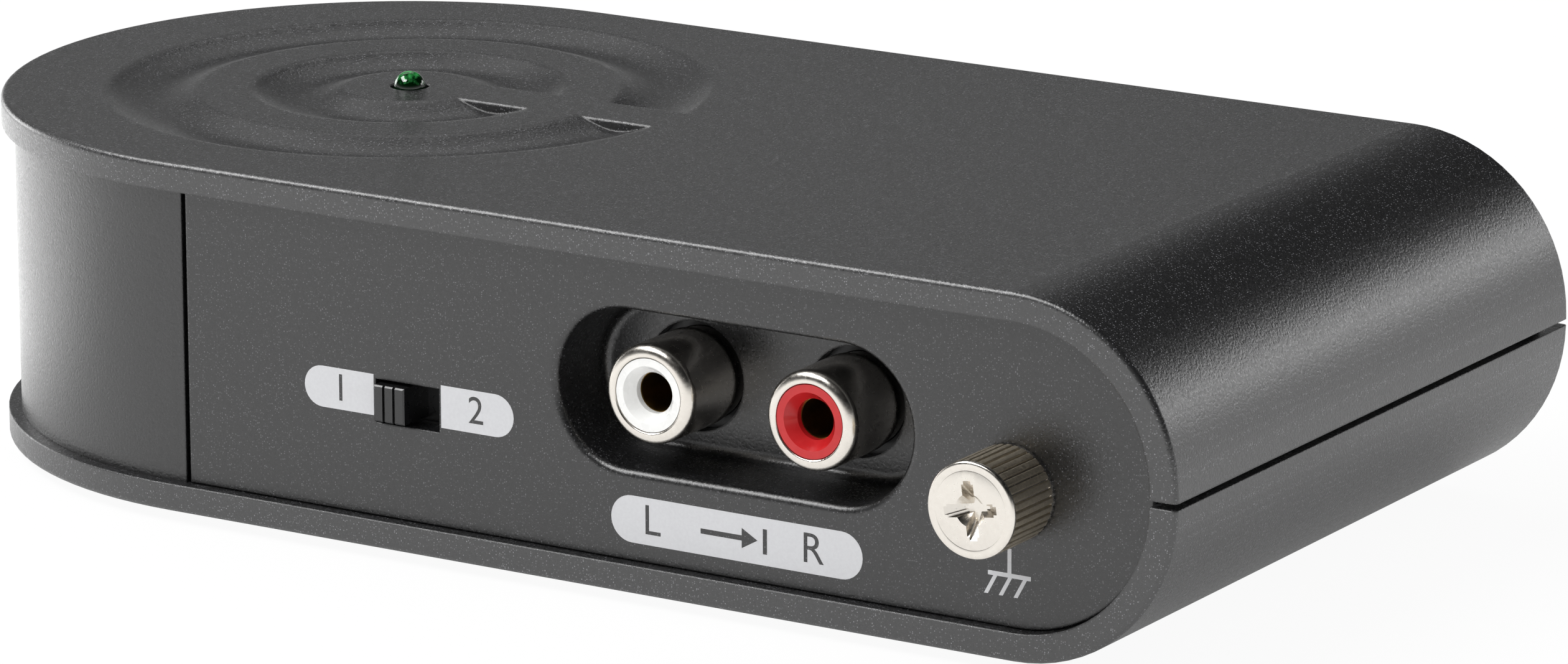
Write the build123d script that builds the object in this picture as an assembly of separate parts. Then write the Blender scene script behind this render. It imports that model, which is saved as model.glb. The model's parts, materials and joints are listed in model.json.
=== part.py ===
"""Phono preamp: a turntable preamplifier in a small plastic case, as its separate pieces.

Two J-shaped covers meet along a seam round the nose. Two side panels and a curved end wall stand
in grooves between them. Lengths are in millimetres, +Z is up, +X points to the round nose, and
the input side faces -Y. Z is 0 at the table. The case is drawn about its own middle, and every
piece moves by CASE_Y when it is written, so that the origin is at the middle of the whole.
"""
import os
from math import hypot, pi, sin

from build123d import *

# Case
CASE_LENGTH = 129.7
CASE_WIDTH = 66.6
CASE_HEIGHT = 30.0
NOSE_RADIUS = 14.65
COVER_WALL = 2.4
EDGE_ROUND = 0.45
FOOT_PROUD = 1.0
SEAM_DROP = 0.25        # the nose seam lies this far under half height
SEAM_GAP = 0.55
SEAM_LIP = (3.2, 2.4)   # reach of the lip behind the nose seam, down and up from the seam
LIP_WALL = 1.2
LIP_ROOM = 0.2
WALL_INSET = 1.1        # panels and end wall stand this far inside the covers' edge
WALL = 2.0
JOINT_X = -30.2         # where the side panels meet the curved end wall
JOINT_GAP = 0.3
FLANGE = 1.0            # end wall's lap behind the panels: thickness, and reach past the joint
FLANGE_REACH = 4.0
GROOVE_DEPTH = 0.8
TONGUE = 0.9
PLAY = 0.1              # room left round a piece that drops into its seat
TIGHT = 0.05            # room left round a piece that is pressed into its seat

# Ring relief in the lid, about the lamp
LAMP_X = -29.7
LAMP_Y = 0.3
RING_RADII = (9.7, 22.2)
RING_WIDTH = 8.3
RING_DEPTH = 0.95
RING_FULLNESS = 1.4     # 2 gives a slack wave, 1 a full round one
RING_STEPS = 10
BRIDGE_FRONT = -1.55    # sides of the uncut bridge, from the lamp
BRIDGE_BACK = 3.9
BRIDGE_ROUND = 0.25
LAMP_HOLE = 1.7

# Side panels
INPUT_POCKET_X = 23.55
OUTPUT_POCKET_X = 18.0
POCKET_Z = 17.65
POCKET_WIDTH = 33.5
POCKET_HEIGHT = 13.35
POCKET_DEPTH = 6.6
POCKET_DRAFT = 4.0      # degrees
POCKET_WALL = 1.2
POCKET_MOUTH_ROUND = 0.7
POCKET_FLOOR_ROUND = 0.8
SOCKET_PITCH = 15.2
SOCKET_CLEAR = 4.6
PANEL_BREAK = 0.2
SLOT_X = -7.8
SLOT_Z = 13.3
SLOT_WIDTH = 6.3
SLOT_HEIGHT = 3.72
INLET_X = -12.0
INLET_Z = 16.0
INLET_HOLE = 4.9

# Phono sockets, measured inwards from the panel's face
FERRULE_FRONT = -0.55
FERRULE_RADIUS = 4.15
FERRULE_BORE = 3.6
FERRULE_LIP_BORE = 3.1
FERRULE_LIP = 0.35
FERRULE_STRAIGHT = 6.2
FERRULE_NECK = 3.9
FERRULE_END = 9.5
FERRULE_NOSE_ROUND = 0.85
FERRULE_INNER_ROUND = 0.15
INSERT_FACE = -0.45
INSERT_END = 11.4
FUNNEL_RADIUS = 2.4
FUNNEL_END = 0.5
INSERT_HOLE = 1.7
CONTACT_START = 1.05
CONTACT_BORE = 1.65
CONTACT_RADIUS = 2.0
CONTACT_END = 11.6
CONTACT_FLOOR = 0.6
CONTACT_SLIT = (0.3, 1.5)   # width, and what it leaves uncut at the back
TAIL = (1.0, 0.5)           # width and thickness of a contact's tail
TAIL_STUB = 0.8             # radius of the stub that joins tail and tube
BELOW_BOARD = 0.5           # length of a lead left standing out under the board

# Moulded socket block
BLOCK_SIDE = 5.9        # wall of the block, beyond the sockets' middles
BLOCK_RISE = 6.9
BLOCK_ROUND = 3.0
BLOCK_DEPTH = 12.0
BLOCK_FRONT = 3.4
BLOCK_WALL = 1.2
BLOCK_ROOF = 1.4
BLOCK_GAP = 0.2         # from the pocket's back

# Power inlet
INLET_BODY_HALF = 4.5
INLET_BODY_RISE = 4.8
INLET_BODY_BREAK = 0.8
INLET_BODY_END = 15.0
INLET_COLLAR_END = 3.0
INLET_BORE = 3.15
INLET_BORE_END = 10.0
PIN_RADIUS = 1.0
PIN_ROOT = 1.4
PIN_TIP_ROUND = 0.6
PIN_START = 1.6
PIN_END = 15.6
BEHIND_PANEL = 0.3      # gap between a panel's back and the parts behind it

# Slide switch
SWITCH_TRAVEL = 2.7
KNOB_WIDTH = 3.0
KNOB_HEIGHT = 3.1
KNOB_PROUD = 0.8
KNOB_BREAK = 0.12
KNOB_GROOVES = (-0.5, 0.5)
KNOB_GROOVE = (0.24, 0.3)   # width and depth
SWITCH_WIDTH = 11.0
SWITCH_HEIGHT = 6.9
SWITCH_DEPTH = 4.9
SHEET = 0.4
CARRIAGE_HALF = 3.2
CARRIAGE_DEPTH = 2.2
CARRIAGE_PLAY = 0.15
BASE_PLATE = 1.0
WIPER = (4.8, 3.6, 0.3)     # width, height and thickness
PIN_PITCH = 2.5
PIN_WIDTH = 0.6
PIN_ROWS = ((0.5, -2.0), (1.8, 0.5))    # distance behind the base, and height, of each row

# Ground terminal
TERMINAL_X = 49.4
TERMINAL_Z = 14.5
THUMB_RADIUS = 3.95
THUMB_REACH = 6.2       # head and washer, from the panel's face
THUMB_BREAK = 0.25
THUMB_RIM = 0.4         # plain rim between the head's face and the knurl
KNURLS = 36
KNURL_SIDE = 0.3
RECESS_REACH = 2.45
RECESS_DEPTH = 1.7
RECESS_TURN = 8.0
WASHER = 0.25
WASHER_RADIUS = 3.85
SHANK_RADIUS = 1.95
SHANK_END = 11.5
SHANK_CLEAR = 0.08
SHANK_BREAK = 0.4
SCREW_HOLE_ROOM = 0.45
BRACKET_HALF = 5.0
BRACKET_SHEET = 1.5
BRACKET_RISE = 5.0
BRACKET_ROUND = 2.0
BRACKET_FOOT = (8.0, 1.0)   # reach and thickness

# Lamp
LAMP_RADIUS = 1.4
LAMP_SINK = 0.1         # middle of the dome under the lid's surface
LAMP_BARREL = 2.8
LAMP_FLANGE = 1.0
LAMP_FLANGE_RADIUS = 1.9
LEAD = 0.5
LEAD_PITCH = 2.54
SPACER_RADIUS = 2.5

# Circuit board and what holds the case together
BOARD_TOP = 9.5
BOARD = 1.6
BOARD_INSET = 4.9
BOARD_END = 57.0
BOSS_TOP = 14.0
BOSS_RADIUS = 3.0
BOSS_CLEAR = 0.4        # round the bosses where they pass the board
BOSS_HOLE = 9.0
POST_RADIUS = 2.6
POST_FLOOR = 0.6
SHANK_ROOM = 0.3
LEAD_HOLE = 0.5
TAIL_HOLE = 0.75
CASE_SCREW_SPOTS = [(-40, -20), (-40, 20), (43, -13), (43, 13)]
BOARD_SCREW_SPOTS = [(-22, -24), (-22, 24), (52, -6), (52, 6)]
FOOT_SPOTS = {
    "foot_lamp_end_front": (-50, -13),
    "foot_lamp_end_back": (-50, 13),
    "foot_nose_front": (42, -24),
    "foot_nose_back": (42, 24),
}
FOOT_RADIUS = 4.0
FOOT_SEAT = 1.0
FOOT_BREAK = 0.35

# Components on the board: sizes, then where each one stands
SUPPLY_CAN = (4.0, 12.0)    # radius and height
SUPPLY_SPOTS = [(-2, 20), (-15, 8), (-15, -8)]
COUPLING_CAN = (2.5, 10.5)
COUPLING_SPOTS = [(44, -1), (33, -7.5), (22, 6), (11, 6)]
CAN_BREAK = 0.4
CAN_GROOVE = (1.6, 0.7, 0.25)   # height above the board, width and depth
FILM_BOX = (7.2, 3.5, 6.4)
FILM_BREAK = 0.4
FILM_SPOTS = [(12, -6), (12, 0), (24, -6), (24, 0)]
CHIP = (4.9, 3.9, 1.5)
CHIP_LIFT = 0.2
CHIP_BREAK = 0.25
CHIP_LEGS = 4
CHIP_LEG_PITCH = 1.27
CHIP_LEG = (0.4, 3.0, 0.5, 0.25)    # width, reach from the middle, foot and thickness
CHIP_SPOTS = [(34, 0), (34, 6.5), (-8, -12), (-22, 0)]
RESISTOR = (2.0, 1.25, 0.6)
RESISTOR_SPOTS = [(x, y) for x in (-8, -4, 0, 4) for y in (-6, -2, 2, 6)]
REGULATOR = (10.0, 3.2, 8.6)
REGULATOR_LIFT = 3.7
REGULATOR_TAB = (0.8, 5.7)      # thickness, and height above the body
REGULATOR_TAB_HOLE = 1.8
REGULATOR_LEG = (0.9, 0.5)
REGULATOR_LEG_PITCH = 2.54
REGULATOR_SPOTS = [(-22, 14)]

# Worked out from the above
BOTTOM_Z = FOOT_PROUD
TOP_Z = BOTTOM_Z + CASE_HEIGHT
MID_Z = BOTTOM_Z + CASE_HEIGHT / 2
SEAM_Z = MID_Z - SEAM_DROP
FLOOR_Z = BOTTOM_Z + COVER_WALL
CEILING_Z = TOP_Z - COVER_WALL
HALF = CASE_WIDTH / 2
END_X = CASE_LENGTH / 2
ARC_X = HALF - END_X    # axis of the half-round end
FACE = HALF - WALL_INSET
CASE_Y = (FACE + THUMB_REACH - HALF) / 2
LAMP_SEAT_Z = TOP_Z - LAMP_SINK - LAMP_BARREL - LAMP_FLANGE
LEAD_PLACES = (LAMP_X - LEAD_PITCH / 2, LAMP_X + LEAD_PITCH / 2)
LEAD_TIP_Z = BOARD_TOP - BOARD - BELOW_BOARD
SWITCH_FRONT = WALL + BEHIND_PANEL
SWITCH_BACK = SWITCH_FRONT + SWITCH_DEPTH
FAR = 2 * CASE_LENGTH


# Outlines
def plan(inset=0.0):
    """Case seen from above, shrunk by inset: half-round at the lamp end, straight to the nose."""
    radius = HALF - inset
    sides = Pos((ARC_X + END_X) / 2, 0) * Rectangle(END_X - ARC_X, 2 * radius)
    return Pos(ARC_X, 0) * Circle(radius) + sides


def side(inset=0.0, nose_gap=0.0, reach=0.0):
    """Case seen from the side, shrunk by inset: square at the lamp end, round at the nose."""
    left = -END_X - reach
    right = END_X - inset - nose_gap
    outline = Pos((left + right) / 2, MID_Z) * Rectangle(right - left, CASE_HEIGHT - 2 * inset)
    return fillet(outline.vertices().sort_by(Axis.X)[-2:], NOSE_RADIUS - inset - nose_gap)


def upright(sketch, low, high):
    """Plan sketch raised into a solid between two heights."""
    return Pos(0, 0, low) * extrude(sketch, high - low)


def across(sketch):
    """Side sketch carried right across the case."""
    return extrude(Plane.XZ * sketch, FAR, both=True)


def block(x=(-FAR, FAR), y=(-FAR, FAR), z=(-FAR, FAR)):
    """Box between the given limits, endless where none is given."""
    size = [high - low for low, high in (x, y, z)]
    return Pos(*[(low + high) / 2 for low, high in (x, y, z)]) * Box(*size)


def about(middle, half):
    """Limits that lie half to each side of a middle."""
    return (middle - half, middle + half)


def peg(x, y, low, high, radius):
    """Upright cylinder between two heights."""
    return Pos(x, y, (low + high) / 2) * Cylinder(radius, high - low)


def ring(outer, inner):
    """Band that follows the case's plan between two insets."""
    return plan(outer) - plan(inner)


def rod(radius, start, end):
    """Cylinder along +Y, between two depths behind a panel's face."""
    return Pos(0, (start + end) / 2, 0) * Rot(90, 0, 0) * Cylinder(radius, end - start)


def at_face(x, z, shape):
    """Shape drawn inwards from the origin along +Y, placed on the input panel's face."""
    return Pos(x, -FACE, z) * shape


def to_back(shape):
    """The same shape on the output side."""
    return mirror(shape, Plane.XZ)


# Covers
def on_plan_wall(edge):
    """True for the edges round the case's upright outer wall, not those within that wall."""
    middle = edge @ 0.5
    reach = abs(middle.Y) if middle.X > ARC_X - PLAY else hypot(middle.X - ARC_X, middle.Y)
    inner_edge = abs(middle.X - ARC_X) < PLAY
    return reach > HALF - PLAY / 10 and not inner_edge


def case_shell():
    """Outer skin of both covers, open at the sides and the lamp end."""
    solid = upright(plan(), BOTTOM_Z, TOP_Z) & across(side())
    solid = fillet(solid.edges().filter_by(on_plan_wall), EDGE_ROUND)
    return solid - across(side(COVER_WALL, reach=1))


def grooves():
    """Seats in both covers for the tongues of the panels and the end wall."""
    inset = WALL_INSET + (WALL - TONGUE) / 2
    band = upright(ring(inset - PLAY, inset + TONGUE + PLAY), BOTTOM_Z, TOP_Z)
    return band & across(side(COVER_WALL - GROOVE_DEPTH, reach=1))


def ring_relief():
    """Two smooth ring-shaped troughs about the lamp, left out along the bridge to the nose."""
    troughs = Part()
    shares = [step / RING_STEPS for step in range(RING_STEPS + 1)]
    for radius in RING_RADII:
        wave = Spline(
            [
                (radius + RING_WIDTH * (t - 0.5), -RING_DEPTH * abs(sin(pi * t)) ** RING_FULLNESS)
                for t in shares
            ],
            tangents=[(1, 0), (1, 0)],
        )
        section = make_face(wave + Line(wave @ 1, wave @ 0))
        troughs += revolve(Plane.XZ * section, Axis.Z)
    middle = (BRIDGE_FRONT + BRIDGE_BACK) / 2
    bar = Pos(middle, -RING_DEPTH) * Rectangle(BRIDGE_BACK - BRIDGE_FRONT, 2 * RING_DEPTH)
    bar = fillet(bar.vertices().group_by(Axis.Y)[-1], BRIDGE_ROUND)
    bridge = extrude(Plane.YZ * bar, RING_RADII[-1] + RING_WIDTH)
    return Pos(LAMP_X, LAMP_Y, TOP_Z) * (troughs - bridge)


def top_cover():
    """Lid with the ring relief, the lamp hole and the bosses that take the case screws."""
    cover = case_shell() & block(z=(SEAM_Z + SEAM_GAP / 2, FAR))
    cover -= grooves()
    cover -= ring_relief()
    cover -= peg(LAMP_X, LAMP_Y, FLOOR_Z, TOP_Z + 1, LAMP_HOLE)
    for x, y in CASE_SCREW_SPOTS:
        cover += peg(x, y, BOSS_TOP, CEILING_Z + PLAY, BOSS_RADIUS)
    for x, y in CASE_SCREW_SPOTS:
        cover -= peg(x, y, BOTTOM_Z, BOSS_TOP + BOSS_HOLE, CASE_SCREW.hole)
    return cover


def bottom_cover():
    """Base with screw posts, board posts, foot seats and a lip behind the nose seam."""
    cover = case_shell() & block(z=(-FAR, SEAM_Z - SEAM_GAP / 2))
    cover -= grooves()
    lip_face = END_X - COVER_WALL - LIP_ROOM
    down, up = SEAM_LIP
    cover += block(
        x=(lip_face - LIP_WALL, lip_face),
        y=about(0, FACE - WALL - LIP_ROOM),
        z=(SEAM_Z - down, SEAM_Z + up),
    )
    for x, y in CASE_SCREW_SPOTS:
        cover += peg(x, y, FLOOR_Z - PLAY, BOSS_TOP, BOSS_RADIUS)
    for x, y in BOARD_SCREW_SPOTS:
        cover += peg(x, y, FLOOR_Z - PLAY, BOARD_TOP - BOARD, POST_RADIUS)
    for x, y in CASE_SCREW_SPOTS:
        cover -= peg(x, y, 0, TOP_Z, CASE_SCREW.shank + SHANK_ROOM)
        cover -= peg(x, y, 0, CASE_SCREW.seat, CASE_SCREW.head + SHANK_ROOM)
    for x, y in BOARD_SCREW_SPOTS:
        cover -= peg(x, y, FLOOR_Z + POST_FLOOR, BOARD_TOP, BOARD_SCREW.hole)
    for x, y in FOOT_SPOTS.values():
        cover -= peg(x, y, 0, BOTTOM_Z + FOOT_SEAT, FOOT_RADIUS + PLAY)
    return cover


# Walls between the covers
def tongue():
    """Rib round the panels and the end wall that drops into the covers' grooves."""
    inset = WALL_INSET + (WALL - TONGUE) / 2
    band = upright(ring(inset, inset + TONGUE), BOTTOM_Z, TOP_Z)
    return band & across(side(COVER_WALL - GROOVE_DEPTH + PLAY, nose_gap=PLAY, reach=1))


def end_wall():
    """Curved wall round the lamp end, with a flange behind each side panel's edge."""
    stop = JOINT_X - JOINT_GAP / 2
    back = WALL_INSET + WALL
    wall = upright(ring(WALL_INSET, back), FLOOR_Z, CEILING_Z) + tongue()
    wall &= block(x=(-FAR, stop))
    flange = upright(ring(back, back + FLANGE), FLOOR_Z, CEILING_Z)
    return wall + (flange & block(x=about(stop, FLANGE_REACH)))


def side_panel(pocket_x):
    """Panel on the input side without its openings: plate, tongue and socket pocket."""
    keep = block(x=(JOINT_X + JOINT_GAP / 2, FAR), y=(-FAR, 0))
    plate = across(side(COVER_WALL, nose_gap=PLAY)) & block(y=(-FACE, -FACE + WALL)) & keep
    rim = plate.faces().sort_by(Axis.Y)[0].outer_wire().edges()
    plate = chamfer(rim, PANEL_BREAK)
    place = Plane.XZ.offset(FACE) * Pos(pocket_x, POCKET_Z)
    cup = SlotOverall(POCKET_WIDTH + 2 * POCKET_WALL, POCKET_HEIGHT + 2 * POCKET_WALL)
    hollow = extrude(
        place * SlotOverall(POCKET_WIDTH, POCKET_HEIGHT), -POCKET_DEPTH, taper=POCKET_DRAFT
    )
    hollow = fillet(hollow.faces().sort_by(Axis.Y)[-1].edges(), POCKET_FLOOR_ROUND)
    panel = plate + (tongue() & keep)
    panel += extrude(place * cup, -(POCKET_DEPTH + POCKET_WALL))
    panel -= hollow

    def in_pocket_mouth(edge):
        middle = edge @ 0.5
        inside = abs(middle.X - pocket_x) < POCKET_WIDTH / 2 + PLAY
        level = abs(middle.Z - POCKET_Z) < POCKET_HEIGHT / 2 + PLAY
        return inside and level and abs(middle.Y + FACE) < PLAY / 10

    panel = fillet(panel.edges().filter_by(in_pocket_mouth), POCKET_MOUTH_ROUND)
    for x in socket_places(pocket_x):
        panel -= at_face(x, POCKET_Z, rod(SOCKET_CLEAR, 0, 2 * POCKET_DEPTH))
    return panel


def socket_places(pocket_x):
    """Where the left and the right socket stand along a pocket."""
    return about(pocket_x, SOCKET_PITCH / 2)


def input_panel():
    """Front panel: pocket, switch slot and the hole for the ground terminal's screw."""
    panel = side_panel(INPUT_POCKET_X)
    panel -= at_face(SLOT_X, SLOT_Z, Box(SLOT_WIDTH, 3 * WALL, SLOT_HEIGHT))
    hole = rod(SHANK_RADIUS + SCREW_HOLE_ROOM, -WALL, 2 * WALL)
    return panel - at_face(TERMINAL_X, TERMINAL_Z, hole)


def output_panel():
    """Back panel: pocket and the round hole for the power inlet."""
    hole = rod(INLET_HOLE, -WALL, 2 * WALL)
    return to_back(side_panel(OUTPUT_POCKET_X) - at_face(INLET_X, INLET_Z, hole))


# Phono sockets
def ferrule():
    """Outer contact of a socket: a drawn tube whose lip is rolled in at the front."""
    profile = Polyline(
        (FERRULE_LIP_BORE, FERRULE_FRONT),
        (FERRULE_RADIUS, FERRULE_FRONT),
        (FERRULE_RADIUS, FERRULE_STRAIGHT),
        (FERRULE_NECK, FERRULE_STRAIGHT),
        (FERRULE_NECK, FERRULE_END),
        (FERRULE_BORE, FERRULE_END),
        (FERRULE_BORE, FERRULE_LIP),
        (FERRULE_LIP_BORE, FERRULE_LIP),
        close=True,
    )
    section = make_face(profile)
    front = section.vertices().group_by(Axis.Y)[0].sort_by(Axis.X)
    section = fillet(front[-1:], FERRULE_NOSE_ROUND)
    front = section.vertices().group_by(Axis.Y)[0].sort_by(Axis.X)
    section = fillet(front[:1], FERRULE_INNER_ROUND)
    return revolve(section, Axis.Y)


def insert():
    """Insulator in a socket: a funnel that leads the plug's pin to the centre contact."""
    bore = CONTACT_RADIUS + TIGHT
    profile = Polyline(
        (INSERT_HOLE, FUNNEL_END),
        (FUNNEL_RADIUS, INSERT_FACE),
        (FERRULE_LIP_BORE - TIGHT, INSERT_FACE),
        (FERRULE_LIP_BORE - TIGHT, FERRULE_LIP + TIGHT),
        (FERRULE_BORE - TIGHT, FERRULE_LIP + TIGHT),
        (FERRULE_BORE - TIGHT, INSERT_END),
        (bore, INSERT_END),
        (bore, CONTACT_START),
        (INSERT_HOLE, CONTACT_START),
        close=True,
    )
    return revolve(make_face(profile), Axis.Y)


def contact():
    """Centre contact of a socket: a slit tube with a tail down to the board."""
    slit, uncut = CONTACT_SLIT
    width, thick = TAIL
    start = CONTACT_START + TIGHT
    tube = rod(CONTACT_RADIUS, start, CONTACT_END)
    tube -= rod(CONTACT_BORE, 0, CONTACT_END - CONTACT_FLOOR)
    tube -= block(x=about(0, slit / 2), y=(0, CONTACT_END - uncut), z=(0, FAR))
    stub = rod(TAIL_STUB, CONTACT_END - CONTACT_FLOOR, CONTACT_END + thick)
    tail = block(
        x=about(0, width / 2),
        y=(CONTACT_END, CONTACT_END + thick),
        z=(LEAD_TIP_Z - POCKET_Z, width),
    )
    return tube + stub + tail


def socket_block(pocket_x):
    """Moulded body of a socket pair: bored front wall, open behind, standing on the board."""
    start = POCKET_DEPTH + POCKET_WALL + BLOCK_GAP
    half = SOCKET_PITCH / 2 + BLOCK_SIDE
    bottom = BOARD_TOP - POCKET_Z
    outline = Pos(0, (bottom + BLOCK_RISE) / 2) * Rectangle(2 * half, BLOCK_RISE - bottom)
    outline = fillet(outline.vertices().group_by(Axis.Y)[-1], BLOCK_ROUND)
    body = extrude(Plane.XZ.offset(-start) * outline, -BLOCK_DEPTH)
    body -= block(
        x=about(0, half - BLOCK_WALL),
        y=(start + BLOCK_FRONT, FAR),
        z=(-FAR, BLOCK_RISE - BLOCK_ROOF),
    )
    for x in socket_places(0):
        body -= Pos(x, 0, 0) * rod(FERRULE_NECK + TIGHT, 0, FERRULE_END)
        body -= Pos(x, 0, 0) * rod(FERRULE_BORE, 0, start + BLOCK_DEPTH)
    return at_face(pocket_x, POCKET_Z, body)


# Power inlet
def power_inlet():
    """Body of the power inlet: a moulded box with a round collar and a blind bore."""
    body = block(
        x=about(0, INLET_BODY_HALF),
        y=(SWITCH_FRONT, INLET_BODY_END),
        z=(BOARD_TOP - INLET_Z, INLET_BODY_RISE),
    )
    body = chamfer(body.edges().filter_by(Axis.Y).group_by(Axis.Z)[-1], INLET_BODY_BREAK)
    body += rod(INLET_HOLE - PLAY, 0, INLET_COLLAR_END)
    body -= rod(INLET_BORE, -1, INLET_BORE_END)
    return to_back(at_face(INLET_X, INLET_Z, body - rod(PIN_ROOT + TIGHT, 0, INLET_BODY_END)))


def power_pin():
    """Centre pin of the power inlet, round at its tip and thicker where the body holds it."""
    pin = rod(PIN_RADIUS, PIN_START, PIN_END)
    pin = fillet(pin.edges().sort_by(Axis.Y)[0], PIN_TIP_ROUND)
    return to_back(at_face(INLET_X, INLET_Z, pin + rod(PIN_ROOT, INLET_BORE_END, PIN_END)))


# Slide switch
def switch_box(margin=0.0):
    """Limits of the switch's steel can, shrunk by margin, measured from the slot's centre."""
    bottom = BOARD_TOP - SLOT_Z
    return {
        "x": about(0, SWITCH_WIDTH / 2 - margin),
        "y": (SWITCH_FRONT + margin, SWITCH_BACK - margin),
        "z": (bottom + margin, bottom + SWITCH_HEIGHT - margin),
    }


def switch_frame():
    """Folded steel can, open behind, with the lever's window in front."""
    space = switch_box(SHEET)
    space["y"] = (space["y"][0], FAR)
    window = Box(SLOT_WIDTH, 2 * (SWITCH_FRONT + 2 * SHEET), SLOT_HEIGHT)
    return at_face(SLOT_X, SLOT_Z, block(**switch_box()) - block(**space) - window)


def switch_base():
    """Insulating plate that closes the can and carries the fixed contacts."""
    space = switch_box(SHEET + TIGHT)
    space["y"] = (SWITCH_BACK - BASE_PLATE, SWITCH_BACK)
    return at_face(SLOT_X, SLOT_Z, block(**space))


def switch_terminals():
    """Six flat terminals in two rows, bent down from the base into the board."""
    foot = LEAD_TIP_Z - SLOT_Z
    group = []
    for step in (-1, 0, 1):
        for behind, level in PIN_ROWS:
            x = about(0, PIN_WIDTH / 2)
            end = SWITCH_BACK + behind + SHEET
            low = block(x=x, y=(SWITCH_BACK, end), z=(level, level + SHEET))
            leg = block(x=x, y=(end - SHEET, end), z=(foot, level + SHEET))
            group.append(at_face(SLOT_X + PIN_PITCH * step + behind - 1, SLOT_Z, low + leg))
    return Compound(group)


def switch_lever():
    """Sliding carriage with the ribbed lever that stands out of the slot, at its left end."""
    centre = -SWITCH_TRAVEL / 2
    space = switch_box(SHEET + CARRIAGE_PLAY)
    front = SWITCH_FRONT + SHEET + PLAY
    carriage = block(
        x=about(centre, CARRIAGE_HALF), y=(front, front + CARRIAGE_DEPTH), z=space["z"]
    )
    knob = block(
        x=about(centre, KNOB_WIDTH / 2), y=(-KNOB_PROUD, front), z=about(0, KNOB_HEIGHT / 2)
    )
    knob = chamfer(knob.faces().sort_by(Axis.Y)[0].edges(), KNOB_BREAK)
    width, depth = KNOB_GROOVE
    for offset in KNOB_GROOVES:
        knob -= block(x=about(centre + offset, width / 2), y=(-FAR, depth - KNOB_PROUD))
    return at_face(SLOT_X, SLOT_Z, carriage + knob)


def switch_wiper():
    """Spring contact clip on the back of the lever's carriage."""
    width, height, thick = WIPER
    behind = SWITCH_FRONT + SHEET + PLAY + CARRIAGE_DEPTH
    strip = block(
        x=about(-SWITCH_TRAVEL / 2, width / 2), y=(behind, behind + thick), z=about(0, height / 2)
    )
    return at_face(SLOT_X, SLOT_Z, strip)


# Ground terminal
def cross_recess(reach, depth):
    """Tapered cross with a flared middle for a screwdriver, cut downwards from the origin."""
    arm = reach * 0.42
    cut = Pos(0, 0, -depth / 2) * Cone(arm / 3, reach * 0.52, depth)
    for turn in (0, 90):
        top = Rot(0, 0, turn) * Rectangle(2 * reach, arm)
        bottom = Pos(0, 0, -depth) * Rot(0, 0, turn) * Rectangle(reach * 0.9, arm * 0.7)
        cut += loft([top, bottom])
    return cut


def ground_screw():
    """Thumb screw of the ground terminal: knurled head, cross recess and plain shank."""
    length = THUMB_REACH - WASHER
    head = Pos(0, 0, length / 2) * Cylinder(THUMB_RADIUS, length)
    head = chamfer(head.edges().filter_by(GeomType.CIRCLE), THUMB_BREAK)
    groove = Rot(0, 0, 45) * Box(KNURL_SIDE, KNURL_SIDE, length)
    groove = Pos(THUMB_RADIUS, 0, length / 2 - THUMB_RIM) * groove
    for turn in range(KNURLS):
        head -= Rot(0, 0, turn * 360 / KNURLS) * groove
    head -= Pos(0, 0, length) * Rot(0, 0, RECESS_TURN) * cross_recess(RECESS_REACH, RECESS_DEPTH)
    reach = SHANK_END + WASHER
    shank = Pos(0, 0, (WASHER - reach) / 2) * Cylinder(SHANK_RADIUS, reach + WASHER)
    shank = chamfer(shank.edges().sort_by(Axis.Z)[0], SHANK_BREAK)
    screw = Pos(0, -WASHER, 0) * Rot(90, 0, 0) * (head + shank)
    return at_face(TERMINAL_X, TERMINAL_Z, screw)


def ground_washer():
    """Washer held captive under the thumb screw's head."""
    disc = rod(WASHER_RADIUS, -WASHER, 0) - rod(SHANK_RADIUS + SHANK_CLEAR, -1, 1)
    return at_face(TERMINAL_X, TERMINAL_Z, disc)


def ground_bracket():
    """Angle with the terminal's thread, standing on the board behind the panel."""
    low = BOARD_TOP - TERMINAL_Z
    across_leg = about(0, BRACKET_HALF)
    leg = block(x=across_leg, y=(WALL, WALL + BRACKET_SHEET), z=(low, BRACKET_RISE))
    leg = fillet(leg.edges().filter_by(Axis.Y).group_by(Axis.Z)[-1], BRACKET_ROUND)
    reach, thick = BRACKET_FOOT
    bracket = leg + block(x=across_leg, y=(WALL, WALL + reach), z=(low, low + thick))
    bracket -= rod(SHANK_RADIUS + SHANK_CLEAR, 0, WALL + 2 * BRACKET_SHEET)
    return at_face(TERMINAL_X, TERMINAL_Z, bracket)


# Lamp
def lamp_lens():
    """Round lamp that shows through the lid: dome, barrel and base flange."""
    dome = TOP_Z - LAMP_SINK
    base = dome - LAMP_BARREL
    body = peg(LAMP_X, LAMP_Y, base, dome, LAMP_RADIUS)
    body += Pos(LAMP_X, LAMP_Y, dome) * Sphere(LAMP_RADIUS)
    return body + peg(LAMP_X, LAMP_Y, LAMP_SEAT_Z, base, LAMP_FLANGE_RADIUS)


def lamp_leads():
    """Two square wires from the lamp down through the board."""
    y = about(LAMP_Y, LEAD / 2)
    wires = [block(x=about(x, LEAD / 2), y=y, z=(LEAD_TIP_Z, LAMP_SEAT_Z)) for x in LEAD_PLACES]
    return Compound(wires)


def lamp_spacer():
    """Moulded post that holds the lamp at the lid's height and guides its wires."""
    post = peg(LAMP_X, LAMP_Y, BOARD_TOP, LAMP_SEAT_Z, SPACER_RADIUS)
    for x in LEAD_PLACES:
        post -= block(x=about(x, LEAD / 2 + PLAY), y=about(LAMP_Y, LEAD / 2 + PLAY))
    return post


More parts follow.
